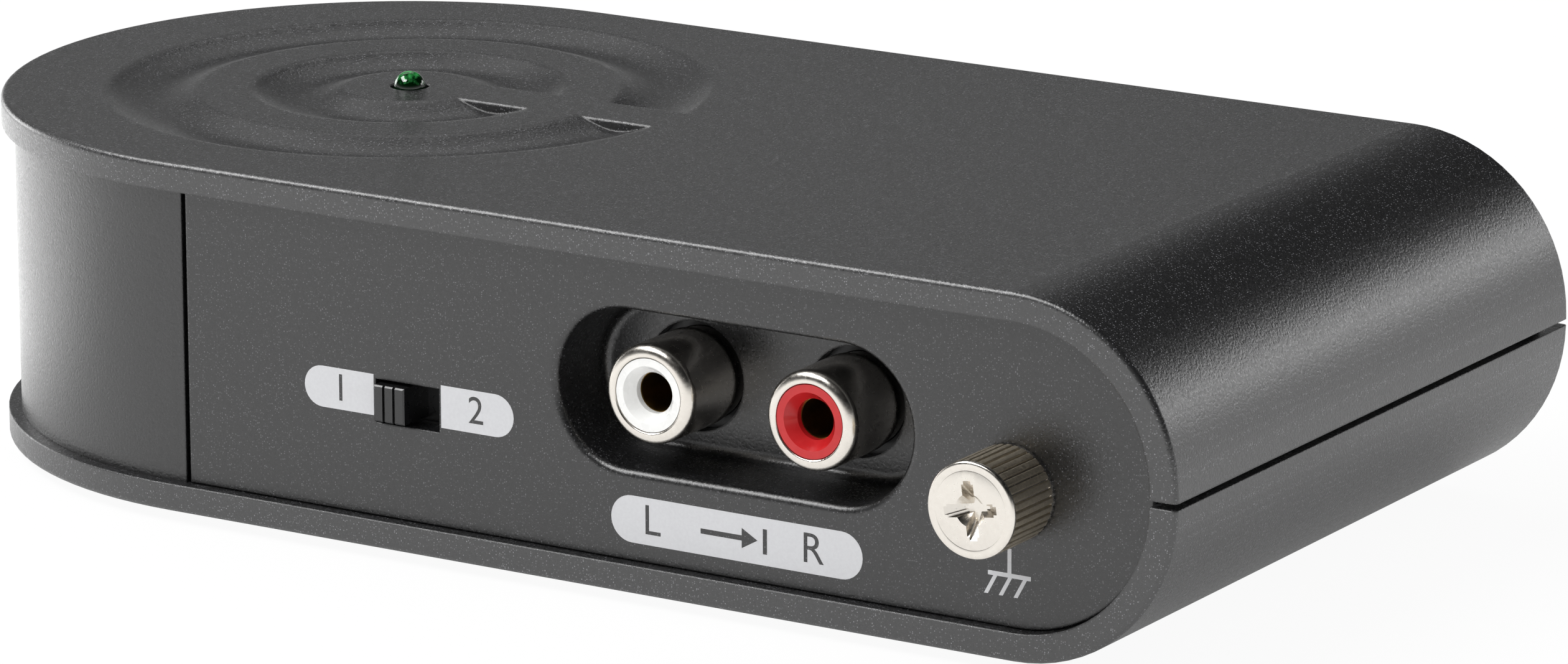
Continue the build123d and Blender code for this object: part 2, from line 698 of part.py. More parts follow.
# Circuit board and its components
def circuit_board():
    """Board with its screw holes, round to the case's lamp end."""
    board = upright(plan(BOARD_INSET), BOARD_TOP - BOARD, BOARD_TOP) & block(x=(-FAR, BOARD_END))

    def drill(x, y, radius):
        return peg(x, y, 0, TOP_Z, radius)

    for x, y in CASE_SCREW_SPOTS:
        board -= drill(x, y, BOSS_RADIUS + BOSS_CLEAR)
    for x, y in BOARD_SCREW_SPOTS:
        board -= drill(x, y, BOARD_SCREW.shank + 2 * PLAY)
    for x in LEAD_PLACES:
        board -= drill(x, LAMP_Y, LEAD_HOLE)
    tail_y = FACE - CONTACT_END - TAIL[1] / 2
    for pocket_x, y in ((INPUT_POCKET_X, -tail_y), (OUTPUT_POCKET_X, tail_y)):
        for x in socket_places(pocket_x):
            board -= drill(x, y, TAIL_HOLE)
    slots = block(x=about(0, 4), y=(SWITCH_BACK + 2 * PLAY, SWITCH_BACK + PIN_PITCH))
    return board - at_face(SLOT_X, BOARD_TOP, slots)


def on_board(spots, shape):
    """Copies of one component, each standing on the board at its own spot."""
    return Compound([Pos(x, y, BOARD_TOP) * shape for x, y in spots])


def electrolytic_capacitor(radius, height):
    """Can with a broken top edge and the pressed groove above its base."""
    level, width, depth = CAN_GROOVE
    can = Pos(0, 0, height / 2) * Cylinder(radius, height)
    can = chamfer(can.edges().sort_by(Axis.Z)[-1], CAN_BREAK)
    return can - Pos(0, 0, level) * (Cylinder(radius + 1, width) - Cylinder(radius - depth, width))


def film_capacitor():
    """Boxed film capacitor."""
    box = Pos(0, 0, FILM_BOX[2] / 2) * Box(*FILM_BOX)
    return chamfer(box.faces().sort_by(Axis.Z)[-1].edges(), FILM_BREAK)


def op_amp():
    """Small-outline chip with four bent legs on each long side."""
    body = Pos(0, 0, CHIP_LIFT + CHIP[2] / 2) * Box(*CHIP)
    body = chamfer(body.faces().sort_by(Axis.Z)[-1].edges(), CHIP_BREAK)
    width, reach, foot, thick = CHIP_LEG
    shoulder = CHIP_LIFT + CHIP[2] / 2
    for step in range(CHIP_LEGS):
        x = about((step - (CHIP_LEGS - 1) / 2) * CHIP_LEG_PITCH, width / 2)
        body += block(x=x, y=about(0, reach), z=(shoulder - thick, shoulder))
        for y in ((-reach, foot - reach), (reach - foot, reach)):
            body += block(x=x, y=y, z=(0, shoulder))
    return body


def regulator():
    """Voltage regulator: moulded body on a metal tab, on three legs."""
    thick, rise = REGULATOR_TAB
    width, deep, high = REGULATOR
    top = REGULATOR_LIFT + high
    body = Pos(0, 0, REGULATOR_LIFT + high / 2) * Box(*REGULATOR)
    tab = Pos(0, (deep - thick) / 2, top + rise / 2) * Box(width, thick, rise)
    tab -= Pos(0, 0, top + rise / 2) * Rot(90, 0, 0) * Cylinder(REGULATOR_TAB_HOLE, 2 * deep)
    leg = Pos(0, 0, REGULATOR_LIFT / 2) * Box(*REGULATOR_LEG, REGULATOR_LIFT)
    legs = [Pos(step * REGULATOR_LEG_PITCH, 0, 0) * leg for step in (-1, 0, 1)]
    return body + tab + legs


def circuit_parts():
    """Components on the board, each kind a group of its own."""
    return {
        "supply_capacitors": on_board(SUPPLY_SPOTS, electrolytic_capacitor(*SUPPLY_CAN)),
        "coupling_capacitors": on_board(COUPLING_SPOTS, electrolytic_capacitor(*COUPLING_CAN)),
        "equaliser_capacitors": on_board(FILM_SPOTS, film_capacitor()),
        "op_amps": on_board(CHIP_SPOTS, op_amp()),
        "chip_resistors": on_board(RESISTOR_SPOTS, Pos(0, 0, RESISTOR[2] / 2) * Box(*RESISTOR)),
        "voltage_regulator": on_board(REGULATOR_SPOTS, regulator()),
    }


# Fasteners and feet
class Screw:
    """Pan-head screw that stands on its tip: sizes, and the hole its thread runs in."""

    def __init__(self, head, head_height, shank, length, seat):
        self.head = head
        self.head_height = head_height
        self.shank = shank
        self.length = length
        self.seat = seat
        self.hole = shank + TIGHT

    def solid(self):
        """Screw with its head up and the underside of the head at the origin."""
        head = Pos(0, 0, self.head_height / 2) * Cylinder(self.head, self.head_height)
        head = chamfer(head.edges().sort_by(Axis.Z)[-1], self.head_height / 3)
        head -= Pos(0, 0, self.head_height) * cross_recess(self.head / 2, self.head_height * 0.6)
        shank = Pos(0, 0, (TIGHT - self.length) / 2) * Cylinder(self.shank, self.length + TIGHT)
        return head + shank


CASE_SCREW = Screw(head=2.6, head_height=1.6, shank=1.4, length=19.5, seat=2.9)
BOARD_SCREW = Screw(head=2.2, head_height=1.4, shank=1.15, length=5.0, seat=BOARD_TOP)


def case_screws():
    """Four long screws, up through the base into the lid."""
    solid = Rot(180, 0, 0) * CASE_SCREW.solid()
    return Compound([Pos(x, y, CASE_SCREW.seat) * solid for x, y in CASE_SCREW_SPOTS])


def board_screws():
    """Four short screws that hold the board on its posts."""
    solid = BOARD_SCREW.solid()
    return Compound([Pos(x, y, BOARD_SCREW.seat) * solid for x, y in BOARD_SCREW_SPOTS])


def foot(x, y):
    """Rubber foot in its seat in the base."""
    disc = peg(x, y, 0, BOTTOM_Z + FOOT_SEAT, FOOT_RADIUS)
    return chamfer(disc.edges().sort_by(Axis.Z)[0], FOOT_BREAK)


def sockets(row, pocket_x):
    """Socket pair of a row, piece by piece, placed on the input side."""
    places = socket_places(pocket_x)
    pieces = {}
    for name, x in zip(("left", "right"), places):
        pieces[f"{row}_{name}_ferrule"] = at_face(x, POCKET_Z, ferrule())
        pieces[f"{row}_{name}_insert"] = at_face(x, POCKET_Z, insert())
    pieces[f"{row}_contacts"] = Compound([at_face(x, POCKET_Z, contact()) for x in places])
    pieces[f"{row}_socket_block"] = socket_block(pocket_x)
    return pieces


def all_pieces():
    """Every piece of the preamp under its own name."""
    pieces = {
        "top_cover": top_cover(),
        "bottom_cover": bottom_cover(),
        "end_wall": end_wall(),
        "input_panel": input_panel(),
        "output_panel": output_panel(),
        "circuit_board": circuit_board(),
        "power_inlet": power_inlet(),
        "power_pin": power_pin(),
        "switch_frame": switch_frame(),
        "switch_base": switch_base(),
        "switch_terminals": switch_terminals(),
        "switch_lever": switch_lever(),
        "switch_wiper": switch_wiper(),
        "ground_screw": ground_screw(),
        "ground_washer": ground_washer(),
        "ground_bracket": ground_bracket(),
        "lamp_lens": lamp_lens(),
        "lamp_leads": lamp_leads(),
        "lamp_spacer": lamp_spacer(),
        "case_screws": case_screws(),
        "board_screws": board_screws(),
    }
    pieces.update(sockets("input", INPUT_POCKET_X))
    turned = sockets("output", OUTPUT_POCKET_X)
    pieces.update({name: to_back(shape) for name, shape in turned.items()})
    pieces.update(circuit_parts())
    pieces.update({name: foot(x, y) for name, (x, y) in FOOT_SPOTS.items()})
    return pieces


os.makedirs("parts", exist_ok=True)
for name, shape in all_pieces().items():
    export_step(Pos(0, CASE_Y, 0) * shape, f"parts/{name}.step")
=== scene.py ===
"""Looks of the phono preamp: camera, light, finishes, print and fine pieces round its CAD frame.

Lengths are in metres and written as millimetres times MM. The input side faces -Y, the round
nose is at +X, and the table is at Z 0.
"""
import json
import math

import bmesh
import bpy
from mathutils import Matrix, Vector


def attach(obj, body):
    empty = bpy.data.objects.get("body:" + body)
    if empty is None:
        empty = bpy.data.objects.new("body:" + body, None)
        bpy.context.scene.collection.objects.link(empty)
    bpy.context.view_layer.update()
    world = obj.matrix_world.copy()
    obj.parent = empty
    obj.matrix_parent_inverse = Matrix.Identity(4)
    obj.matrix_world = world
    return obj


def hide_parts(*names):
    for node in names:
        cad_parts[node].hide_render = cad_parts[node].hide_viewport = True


MM = 0.001

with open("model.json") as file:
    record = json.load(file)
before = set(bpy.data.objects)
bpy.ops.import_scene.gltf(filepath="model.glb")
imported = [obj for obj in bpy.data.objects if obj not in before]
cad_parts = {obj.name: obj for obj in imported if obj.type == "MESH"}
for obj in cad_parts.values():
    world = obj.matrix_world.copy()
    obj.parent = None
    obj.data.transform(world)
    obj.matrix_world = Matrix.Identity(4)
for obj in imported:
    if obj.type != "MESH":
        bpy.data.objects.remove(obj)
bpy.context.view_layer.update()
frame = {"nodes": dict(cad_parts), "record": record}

# Places on the frame, in millimetres
PANEL_Y = -29.65
SCREW_X = 49.4
SCREW_Z = 14.5
LAMP_FOOT = 31.0        # where the lamp's dome leaves the lid
LAMP_CROWN = 32.3


# Small helpers
def linear(colour):
    """Linear value of an sRGB hex colour, with full alpha."""
    channels = [int(colour[i:i + 2], 16) / 255 for i in (1, 3, 5)]
    return [c / 12.92 if c <= 0.04045 else ((c + 0.055) / 1.055) ** 2.4 for c in channels] + [1.0]


def add(tree, kind, inputs=None, **settings):
    """Adds a node. A socket given as an input is linked, any other value is set."""
    node = tree.nodes.new(kind)
    for name, value in settings.items():
        setattr(node, name, value)
    for socket, value in (inputs or {}).items():
        if isinstance(value, bpy.types.NodeSocket):
            tree.links.new(value, node.inputs[socket])
        else:
            node.inputs[socket].default_value = value
    return node


def compute(tree, operation, *values):
    """Result of a math node. Each value is a socket or a number."""
    node = add(tree, "ShaderNodeMath", dict(enumerate(values)), operation=operation)
    return node.outputs[0]


def spread(tree, value, given, wanted=(0.0, 1.0)):
    """Value brought from one range to another, and kept inside it."""
    node = add(
        tree,
        "ShaderNodeMapRange",
        {
            "Value": value,
            "From Min": given[0],
            "From Max": given[1],
            "To Min": wanted[0],
            "To Max": wanted[1],
        },
    )
    return node.outputs["Result"]


# Camera
LENS = 188.83           # focal length in millimetres
CAMERA_AIM = Vector((28.531, -29.65, 24.551)) * MM
CAMERA_DISTANCE = 650.65 * MM
CAMERA_AZIMUTH = math.radians(32.1044)
CAMERA_ELEVATION = math.radians(14.8111)
CAMERA_ROLL = math.radians(-0.1286)


def place_camera():
    """Long lens from the front right, a little above the lid."""
    data = bpy.data.cameras.new("camera")
    data.lens = LENS
    data.clip_start = 0.01
    camera = bpy.data.objects.new("camera", data)
    bpy.context.scene.collection.objects.link(camera)
    turn = (
        Matrix.Rotation(CAMERA_AZIMUTH, 4, "Z")
        @ Matrix.Rotation(math.pi / 2 - CAMERA_ELEVATION, 4, "X")
        @ Matrix.Rotation(CAMERA_ROLL, 4, "Z")
    )
    camera.matrix_world = Matrix.Translation(CAMERA_AIM) @ turn @ Matrix.Translation(
        (0, 0, CAMERA_DISTANCE)
    )
    bpy.context.scene.camera = camera


# Stage
FLOOR_SIZE = 6.0
WHITE = (1, 1, 1, 1)
AMBIENT = 0.52
HORIZON_FADE = 0.6      # in shiny faces the white surround is gone at this sine of its height
FADE_POWER = 4.5
FLOOR_GLOW = 0.94       # share of plain white in the floor, as the camera sees it
MIRRORED_GLOW = 0.3     # the same in shiny faces and through glass, where its light shows too
LIT_POINT = (0, 0, 0.02)        # what the soft boxes face

# Name, place, size and radiance of each soft box. A radiance of 1 is white.
SOFTBOXES = [
    ("back", (-0.5, 0.5, 0.64), (0.65, 0.45), 0.66),
    ("left", (-0.52, -0.32, 0.78), (0.85, 0.3), 8.5),
    ("front", (-0.18, -0.58, 0.84), (0.26, 0.3), 9.0),
    ("right", (0.52, 0.82, 0.26), (0.7, 0.16), 3.3),
    ("low_left", (-0.94, 0.18, 0.17), (0.5, 0.3), 4.6),
]


def aim(lamp, place, target):
    """Puts a lamp in the scene and turns it to a point. The camera doesn't see the lamp itself."""
    bpy.context.scene.collection.objects.link(lamp)
    lamp.location = place
    lamp.rotation_euler = (Vector(target) - Vector(place)).to_track_quat("-Z", "Y").to_euler()
    lamp.visible_camera = False


def softbox(name, place, size, radiance):
    """Rectangular lamp that faces the object."""
    data = bpy.data.lights.new(name, "AREA")
    data.shape = "RECTANGLE"
    data.size, data.size_y = size
    data.energy = radiance * math.pi * size[0] * size[1]
    aim(bpy.data.objects.new(name, data), place, LIT_POINT)


def pool(name, centre, radius, height, power):
    """Soft round pool of light on the table, from a spot straight above it."""
    data = bpy.data.lights.new(name, "SPOT")
    data.spot_size = 2 * math.atan(radius / height)
    data.spot_blend = 0.7
    data.shadow_soft_size = 0.01
    data.energy = power
    x, y = centre
    aim(bpy.data.objects.new(name, data), (x, y, height), (x, y, 0))


def light_world():
    """Even soft light and a white surround. Shiny faces see the surround darken upwards."""
    world = bpy.data.worlds.new("studio")
    world.use_nodes = True
    tree = world.node_tree
    tree.nodes.clear()
    ray = add(tree, "ShaderNodeLightPath").outputs
    straight = compute(tree, "MAXIMUM", ray["Is Camera Ray"], ray["Is Transmission Ray"])
    either = compute(tree, "MAXIMUM", straight, ray["Is Glossy Ray"])
    direction = add(tree, "ShaderNodeTexCoord")
    height = add(tree, "ShaderNodeSeparateXYZ", {0: direction.outputs["Generated"]})
    rest = spread(tree, height.outputs["Z"], (0.0, HORIZON_FADE), (1.0, 0.0))
    fade = compute(tree, "POWER", rest, FADE_POWER)
    shown = compute(tree, "MAXIMUM", straight, fade)
    ambient = add(tree, "ShaderNodeBackground", {"Color": WHITE, "Strength": AMBIENT})
    surround = add(tree, "ShaderNodeBackground", {"Color": WHITE, "Strength": shown})
    both = add(
        tree, "ShaderNodeMixShader", {0: either, 1: ambient.outputs[0], 2: surround.outputs[0]}
    )
    add(tree, "ShaderNodeOutputWorld", {"Surface": both.outputs[0]})
    bpy.context.scene.world = world


def lay_floor():
    """Plain white table. It is clear from below, so that the underside can be looked at."""
    mesh = bpy.data.meshes.new("floor")
    half = FLOOR_SIZE / 2
    corners = [(-half, -half, 0), (half, -half, 0), (half, half, 0), (-half, half, 0)]
    mesh.from_pydata(corners, [], [(0, 1, 2, 3)])
    floor = bpy.data.objects.new("floor", mesh)
    bpy.context.scene.collection.objects.link(floor)
    paper = bpy.data.materials.new("white_paper")
    paper.use_nodes = True
    tree = paper.node_tree
    tree.nodes.clear()
    ray = add(tree, "ShaderNodeLightPath").outputs
    mirrored = compute(tree, "MAXIMUM", ray["Is Glossy Ray"], ray["Is Transmission Ray"])
    second_hand = compute(tree, "MULTIPLY", mirrored, MIRRORED_GLOW)
    share = compute(tree, "MULTIPLY_ADD", ray["Is Camera Ray"], FLOOR_GLOW, second_hand)
    side = add(tree, "ShaderNodeNewGeometry")
    matte = add(tree, "ShaderNodeBsdfDiffuse", {"Color": linear("#f4f4f4")})
    glow = add(tree, "ShaderNodeEmission", {"Color": WHITE, "Strength": 1.0})
    surface = add(tree, "ShaderNodeMixShader", {0: share, 1: matte.outputs[0], 2: glow.outputs[0]})
    clear = add(tree, "ShaderNodeBsdfTransparent")
    both = add(
        tree,
        "ShaderNodeMixShader",
        {0: side.outputs["Backfacing"], 1: surface.outputs[0], 2: clear.outputs[0]},
    )
    add(tree, "ShaderNodeOutputMaterial", {"Surface": both.outputs[0]})
    mesh.materials.append(paper)


bpy.context.scene.view_settings.view_transform = "Standard"
place_camera()
light_world()
lay_floor()
for box in SOFTBOXES:
    softbox(*box)
pool("table_left", centre=(-0.14, 0.012), radius=0.082, height=0.6, power=28.0)


# Materials
NOISE_BAND = (0.3, 0.7)         # nearly all of a noise's values lie here
POLISH_SWING = 0.15             # share by which a mottle makes a finish rougher and smoother

# The case's plastic
CRATER = 0.22                   # width of a crater in the eroded skin, in millimetres
CASE_ROUGHNESS = (0.24, 0.38)
CASE_EDGE = 0.26                # radius that softens its edges, in millimetres
PAINTED_GLINT_CELL = 0.17               # width of the cells that hold the painted glints, in millimetres
PAINTED_GLINT_RADIUS = 0.3              # radius of a cell's painted glint, a pale dot, as a share of the cell
PAINTED_GLINT_DRAW = 0.5                # a cell that draws less than this has no painted glint

# The lamp's epoxy
PAINTED_FLECK = 0.4                     # width of the painted spots of light in its colour, in millimetres
PAINTED_FLECK_GAIN = 1.4
PAINTED_DOME_LIGHT = (-0.2, 0.5)        # painted light added to the spots at its foot and at its crown
GREEN_BAND = (0.85, 1.5)        # painted light at which the green starts, and at which it is full


def start(name, **uniform):
    """New material and its shader, with the values that are the same all over set on it."""
    material = bpy.data.materials.new(name)
    material.use_nodes = True
    shader = material.node_tree.nodes["Principled BSDF"]
    for socket, value in uniform.items():
        shader.inputs[socket.replace("_", " ")].default_value = value
    return material, material.node_tree, shader


def own_place(tree):
    """Place in the piece's own coordinates, so that a finish moves with its piece."""
    return add(tree, "ShaderNodeTexCoord").outputs["Object"]


def noise(tree, place, size, detail=2.0):
    """Cloudy noise with lumps of a size in millimetres."""
    node = add(
        tree,
        "ShaderNodeTexNoise",
        {"Vector": place, "Scale": 1 / (size * MM), "Detail": detail},
    )
    return node.outputs["Fac"]


def tint(tree, shader, factor, first, second):
    """Base colour between two hex colours."""
    tone = add(
        tree,
        "ShaderNodeMix",
        {"Factor": factor, 6: linear(first), 7: linear(second)},
        data_type="RGBA",
    )
    tree.links.new(tone.outputs[2], shader.inputs["Base Color"])


def polish(tree, shader, value, given, wanted):
    """Roughness that follows a value from one range to another."""
    tree.links.new(spread(tree, value, given, wanted), shader.inputs["Roughness"])


def emboss(tree, shader, height, strength, depth, **more):
    """Relief of a depth in millimetres in the surface."""
    bump = add(
        tree,
        "ShaderNodeBump",
        {"Height": height, "Strength": strength, "Distance": depth * MM, **more},
    )
    tree.links.new(bump.outputs["Normal"], shader.inputs["Normal"])


def case_plastic(name, dark, bright, depth, **uniform):
    """Black ABS from a spark-eroded mould: its satin grain breaks every highlight into sparks, and
    pale dots in its colour are painted glints.
    """
    material, tree, shader = start(name, **uniform)
    place = own_place(tree)
    craters = noise(tree, place, CRATER, detail=3.0)
    # painted glints: some cells get a pale dot in the base colour, standing in for sparks of light
    # on the grain
    cells = add(tree, "ShaderNodeTexVoronoi", {"Vector": place, "Scale": 1 / (PAINTED_GLINT_CELL * MM)})
    pick = add(tree, "ShaderNodeSeparateColor", {0: cells.outputs["Color"]})
    chosen = spread(tree, pick.outputs[0], (PAINTED_GLINT_DRAW, 1.0))
    painted_glint = compute(tree, "LESS_THAN", cells.outputs["Distance"], PAINTED_GLINT_RADIUS)
    tint(tree, shader, compute(tree, "MULTIPLY", chosen, painted_glint), dark, bright)
    polish(tree, shader, craters, NOISE_BAND, CASE_ROUGHNESS)
    edge = add(tree, "ShaderNodeBevel", {"Radius": CASE_EDGE * MM}, samples=4)
    emboss(tree, shader, craters, strength=0.8, depth=depth, Normal=edge.outputs[0])
    return material


def mottled(name, dark, light, roughness, size, relief=0.04, **uniform):
    """Finish with a mottle of a given size in millimetres, in its tone, polish and surface."""
    material, tree, shader = start(name, **uniform)
    mottle = noise(tree, own_place(tree), size)
    tint(tree, shader, mottle, dark, light)
    swing = roughness * POLISH_SWING
    polish(tree, shader, mottle, NOISE_BAND, (roughness - swing, roughness + swing))
    emboss(tree, shader, mottle, strength=0.15, depth=relief)
    return material


def plated(name, dark, light, roughness, size, **uniform):
    """Metal whose coat is a little uneven in tone and in polish."""
    return mottled(name, dark, light, roughness, size, relief=0.015, Metallic=1.0, **uniform)


def lamp_epoxy():
    """Green tinted epoxy, glossy, with painted light in its colour: dark low in its dome, bright
    green at its crown and in spots of painted light.
    """
    material, tree, shader = start(
        "lamp_epoxy", Transmission_Weight=0.35, IOR=1.53, Specular_IOR_Level=0.9
    )
    place = own_place(tree)
    painted_flecks = noise(tree, place, PAINTED_FLECK)
    height = add(tree, "ShaderNodeSeparateXYZ", {0: place})
    rise = spread(tree, height.outputs["Z"], (LAMP_FOOT * MM, LAMP_CROWN * MM), PAINTED_DOME_LIGHT)
    # painted light: the spots and the crown turn the colour bright green, and the foot stays dark
    light = compute(tree, "MULTIPLY_ADD", painted_flecks, PAINTED_FLECK_GAIN, rise)
    tint(tree, shader, spread(tree, light, GREEN_BAND), "#03210a", "#4fd06c")
    polish(tree, shader, painted_flecks, given=(0.0, 1.0), wanted=(0.0, 0.1))
    return material


finishes = {
    # black ABS of the covers; its pale second colour is that of the painted glints
    "case_plastic": case_plastic(
        "spark_eroded_abs", "#1e1e1f", "#848488", 0.045, IOR=1.56, Specular_IOR_Level=1.0
    ),
    # glass-filled nylon of the switch lever: its own dull black, painted darker still as painted
    # shade of the deep slot, with edges that catch a line of light
    "switch_plastic": mottled(
        "moulded_nylon", "#101011", "#161617", 0.3, 0.3, IOR=1.53, Specular_IOR_Level=0.7
    ),
    # PBT of the socket bodies: smoother and blacker than the case
    "socket_body_plastic": mottled("black_pbt", "#121213", "#18181a", 0.32, 0.6),
    # white PBT: a soft sheen that keeps it the palest thing on the panel
    "white_insert": mottled("white_pbt", "#eeeeec", "#f6f6f4", 0.28, 0.8, IOR=1.5),
    # red PBT: deep in the funnel, with one small glint
    "red_insert": mottled("red_pbt", "#b81e22", "#c82a2c", 0.2, 0.8, IOR=1.5),
    # bright nickel on brass: warm mirror, a little milky from handling
    "nickel_plate": plated("bright_nickel", "#e0dad1", "#f0ebe3", 0.24, 0.3),
    # brass that has dulled: dark in a deep bore, a glint where light reaches it
    "contact_brass": plated("dulled_brass", "#8a6a30", "#a98a4c", 0.34, 0.5),
    # tinned steel of the switch can and the lamp's leads: grey and streaky
    "sheet_steel": plated("tinned_steel", "#a4a4a3", "#b8b8b7", 0.38, 0.7),
    # black zinc on the case and board screws: oily dark sheen
    "screw_steel": plated("black_zinc", "#38383a", "#464648", 0.34, 0.5),
    # rubber of the feet: no highlight at all
    "rubber": mottled("moulded_rubber", "#1a1a1a", "#222222", 0.8, 0.4),
    "lamp_lens": lamp_epoxy(),
    # solder mask over copper: glossy green, paler over the tracks
    "board_laminate": mottled("solder_mask", "#164a2a", "#1e5f37", 0.3, 3.0),
    # shrink sleeve of the electrolytic capacitors: thin and glossy
    "capacitor_sleeve": mottled("shrink_sleeve", "#181d2a", "#20273a", 0.3, 1.5),
    # resin of the boxed film capacitors: brick red and slightly grainy
    "film_box": mottled("cast_resin", "#7e241d", "#8d2c24", 0.33, 1.0),
    # epoxy of the chips and the regulator: matt from the mould
    "chip_plastic": mottled("mould_epoxy", "#1c1c1c", "#252525", 0.6, 0.4),
    # natural nylon of the lamp's spacer: milky
    "spacer_plastic": mottled("natural_nylon", "#d6d6cf", "#e2e2dc", 0.5, 1.0),
    # screen ink: flat pale grey that follows the grain beneath
    "panel_print": mottled("screen_ink", "#c8c8cb", "#d4d5d7", 0.6, 0.25),
}

# the flat side panels come from a finer mould than the covers, and shine a little less; their copy
# of the finish is also painted darker, with dimmer painted glints, as painted shade
shaded_panel_finish = case_plastic(
    "fine_eroded_abs", "#131314", "#666669", 0.028, IOR=1.54, Specular_IOR_Level=0.84
)

# the curved end wall has an etched grain: like leather in the light, with only faint painted
# glints
wall_finish = case_plastic(
    "etched_abs", "#141415", "#2c2c2e", 0.05, IOR=1.54, Specular_IOR_Level=0.84
)

special = {
    "input_panel": shaded_panel_finish,
    "output_panel": shaded_panel_finish,
    "end_wall": wall_finish,
}

# the rolled knurl is a darker, browner copy of the nickel and rough all over; its darker colour is
# painted shade
shaded_knurl_finish = plated("rolled_nickel", "#9a8f7c", "#ded5c4", 0.52, 0.2)

for part in frame["record"]["subparts"]:
    node = frame["nodes"][part["node"]]
    finish = special.get(part["node"], finishes[part["material_slot"]])
    node.data.materials.clear()
    node.data.materials.append(finish)


# Pieces
def piece(name, mesh, body, slot, finish=None):
    """Puts a mesh that lies in the row frame into the scene, on its body and with its finish."""
    mesh.materials.clear()
    mesh.materials.append(finish or finishes[slot])
    thing = bpy.data.objects.new(name, mesh)
    bpy.context.scene.collection.objects.link(thing)
    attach(thing, body)
    return thing


def baked(thing):
    """Mesh of an object as it is evaluated. The object itself goes."""
    bpy.context.view_layer.update()
    seen = thing.evaluated_get(bpy.context.evaluated_depsgraph_get())
    mesh = bpy.data.meshes.new_from_object(seen)
    bpy.data.objects.remove(thing, do_unlink=True)
    return mesh


# Print on the input panel
INK = 0.02              # thickness of the ink
DIGIT_SIZE = 3.3
LETTER_SIZE = 3.6
PADS = {
    "pad_1": {"x": (-18.05, -11.15), "z": (12.0, 15.5), "ends": (True, False)},
    "pad_2": {"x": (-4.48, 2.65), "z": (11.9, 15.5), "ends": (False, True)},
    "pad_sockets": {"x": (12.05, 35.85), "z": (5.0, 8.95), "ends": (True, True)},
}
PAD_WORDS = {
    "pad_1": [("1", -14.45, DIGIT_SIZE)],
    "pad_2": [("2", -1.05, DIGIT_SIZE)],
    "pad_sockets": [("L", 15.95, LETTER_SIZE), ("R", 31.15, LETTER_SIZE)],
}
ARROW = [
    [
        (20.6, -0.22),
        (24.5, -0.22),
        (24.5, -0.85),
        (26.0, 0),
        (24.5, 0.85),
        (24.5, 0.22),
        (20.6, 0.22),
    ],
    [(26.5, -1.05), (26.9, -1.05), (26.9, 1.05), (26.5, 1.05)],
]
EARTH_STEM = (49.33, 9.9, 7.88)         # its middle, top and foot
EARTH_BAR = (47.38, 51.28, 7.52, 7.88)  # left, right, low and high
EARTH_STROKES = (48.05, 49.4, 50.75)    # middles of the strokes' upper ends
EARTH_DROP = (1.55, 0.85)       # how far a stroke falls, and slants to the left
EARTH_LINE = 0.36


def pad_outline(x, z, ends, steps=16):
    """Bar with a half-round or a square end on either side."""
    radius = (z[1] - z[0]) / 2
    middle = (z[0] + z[1]) / 2
    points = []
    for end, turn, rounded in ((x[1], -90, ends[1]), (x[0], 90, ends[0])):
        inward = -1 if turn < 0 else 1
        if rounded:
            centre = end + inward * radius
            for step in range(steps + 1):
                angle = math.radians(turn + 180 * step / steps)
                points.append(
                    (centre + radius * math.cos(angle), middle + radius * math.sin(angle))
                )
        else:
            low, high = (z[0], z[1]) if turn < 0 else (z[1], z[0])
            points += [(end, low), (end, high)]
    return points


def draw(curve, points):
    """Closed straight-sided outline in a flat curve, in millimetres."""
    spline = curve.splines.new("POLY")
    spline.points.add(len(points) - 1)
    for point, (u, v) in zip(spline.points, points):
        point.co = (u * MM, v * MM, 0, 1)
    spline.use_cyclic_u = True


def letter(curve, text, size, u, v):
    """Outlines of a text about a point, drawn into a flat curve."""
    data = bpy.data.curves.new("letters", "FONT")
    data.body = text
    data.size = size * MM
    data.align_x = data.align_y = "CENTER"
    thing = bpy.data.objects.new("letters", data)
    bpy.context.scene.collection.objects.link(thing)
    bpy.context.view_layer.update()
    drawn = thing.to_curve(bpy.context.evaluated_depsgraph_get())
    for source in drawn.splines:
        spline = curve.splines.new("BEZIER")
        spline.bezier_points.add(len(source.bezier_points) - 1)
        for point, given in zip(spline.bezier_points, source.bezier_points):
            for part in ("co", "handle_left", "handle_right"):
                setattr(point, part, getattr(given, part) + Vector((u, v, 0)) * MM)
        spline.use_cyclic_u = True
    thing.to_curve_clear()
    bpy.data.objects.remove(thing, do_unlink=True)


def printed(name, fill):
    """Flat ink on the input panel. What fill draws lies in the panel's own plane."""
    curve = bpy.data.curves.new(name, "CURVE")
    curve.dimensions = "2D"
    curve.fill_mode = "BOTH"
    curve.resolution_u = 6
    curve.extrude = INK / 2 * MM
    fill(curve)
    thing = bpy.data.objects.new(name, curve)
    bpy.context.scene.collection.objects.link(thing)
    mesh = baked(thing)
    mesh.transform(Matrix.Rotation(math.pi / 2, 4, "X"))
    mesh.transform(Matrix.Translation((0, (PANEL_Y - INK / 2) * MM, 0)))
    piece(name, mesh, "preamp_case", "panel_print")


def pad(name):
    """Pale bar whose characters are left open, so that the panel shows in them."""
    shape = PADS[name]
    middle = sum(shape["z"]) / 2

    def fill(curve):
        draw(curve, pad_outline(**shape))
        for text, x, size in PAD_WORDS[name]:
            letter(curve, text, size, x, middle)
        if name == "pad_sockets":
            for outline in ARROW:
                draw(curve, [(u, middle + v) for u, v in outline])

    printed(name, fill)


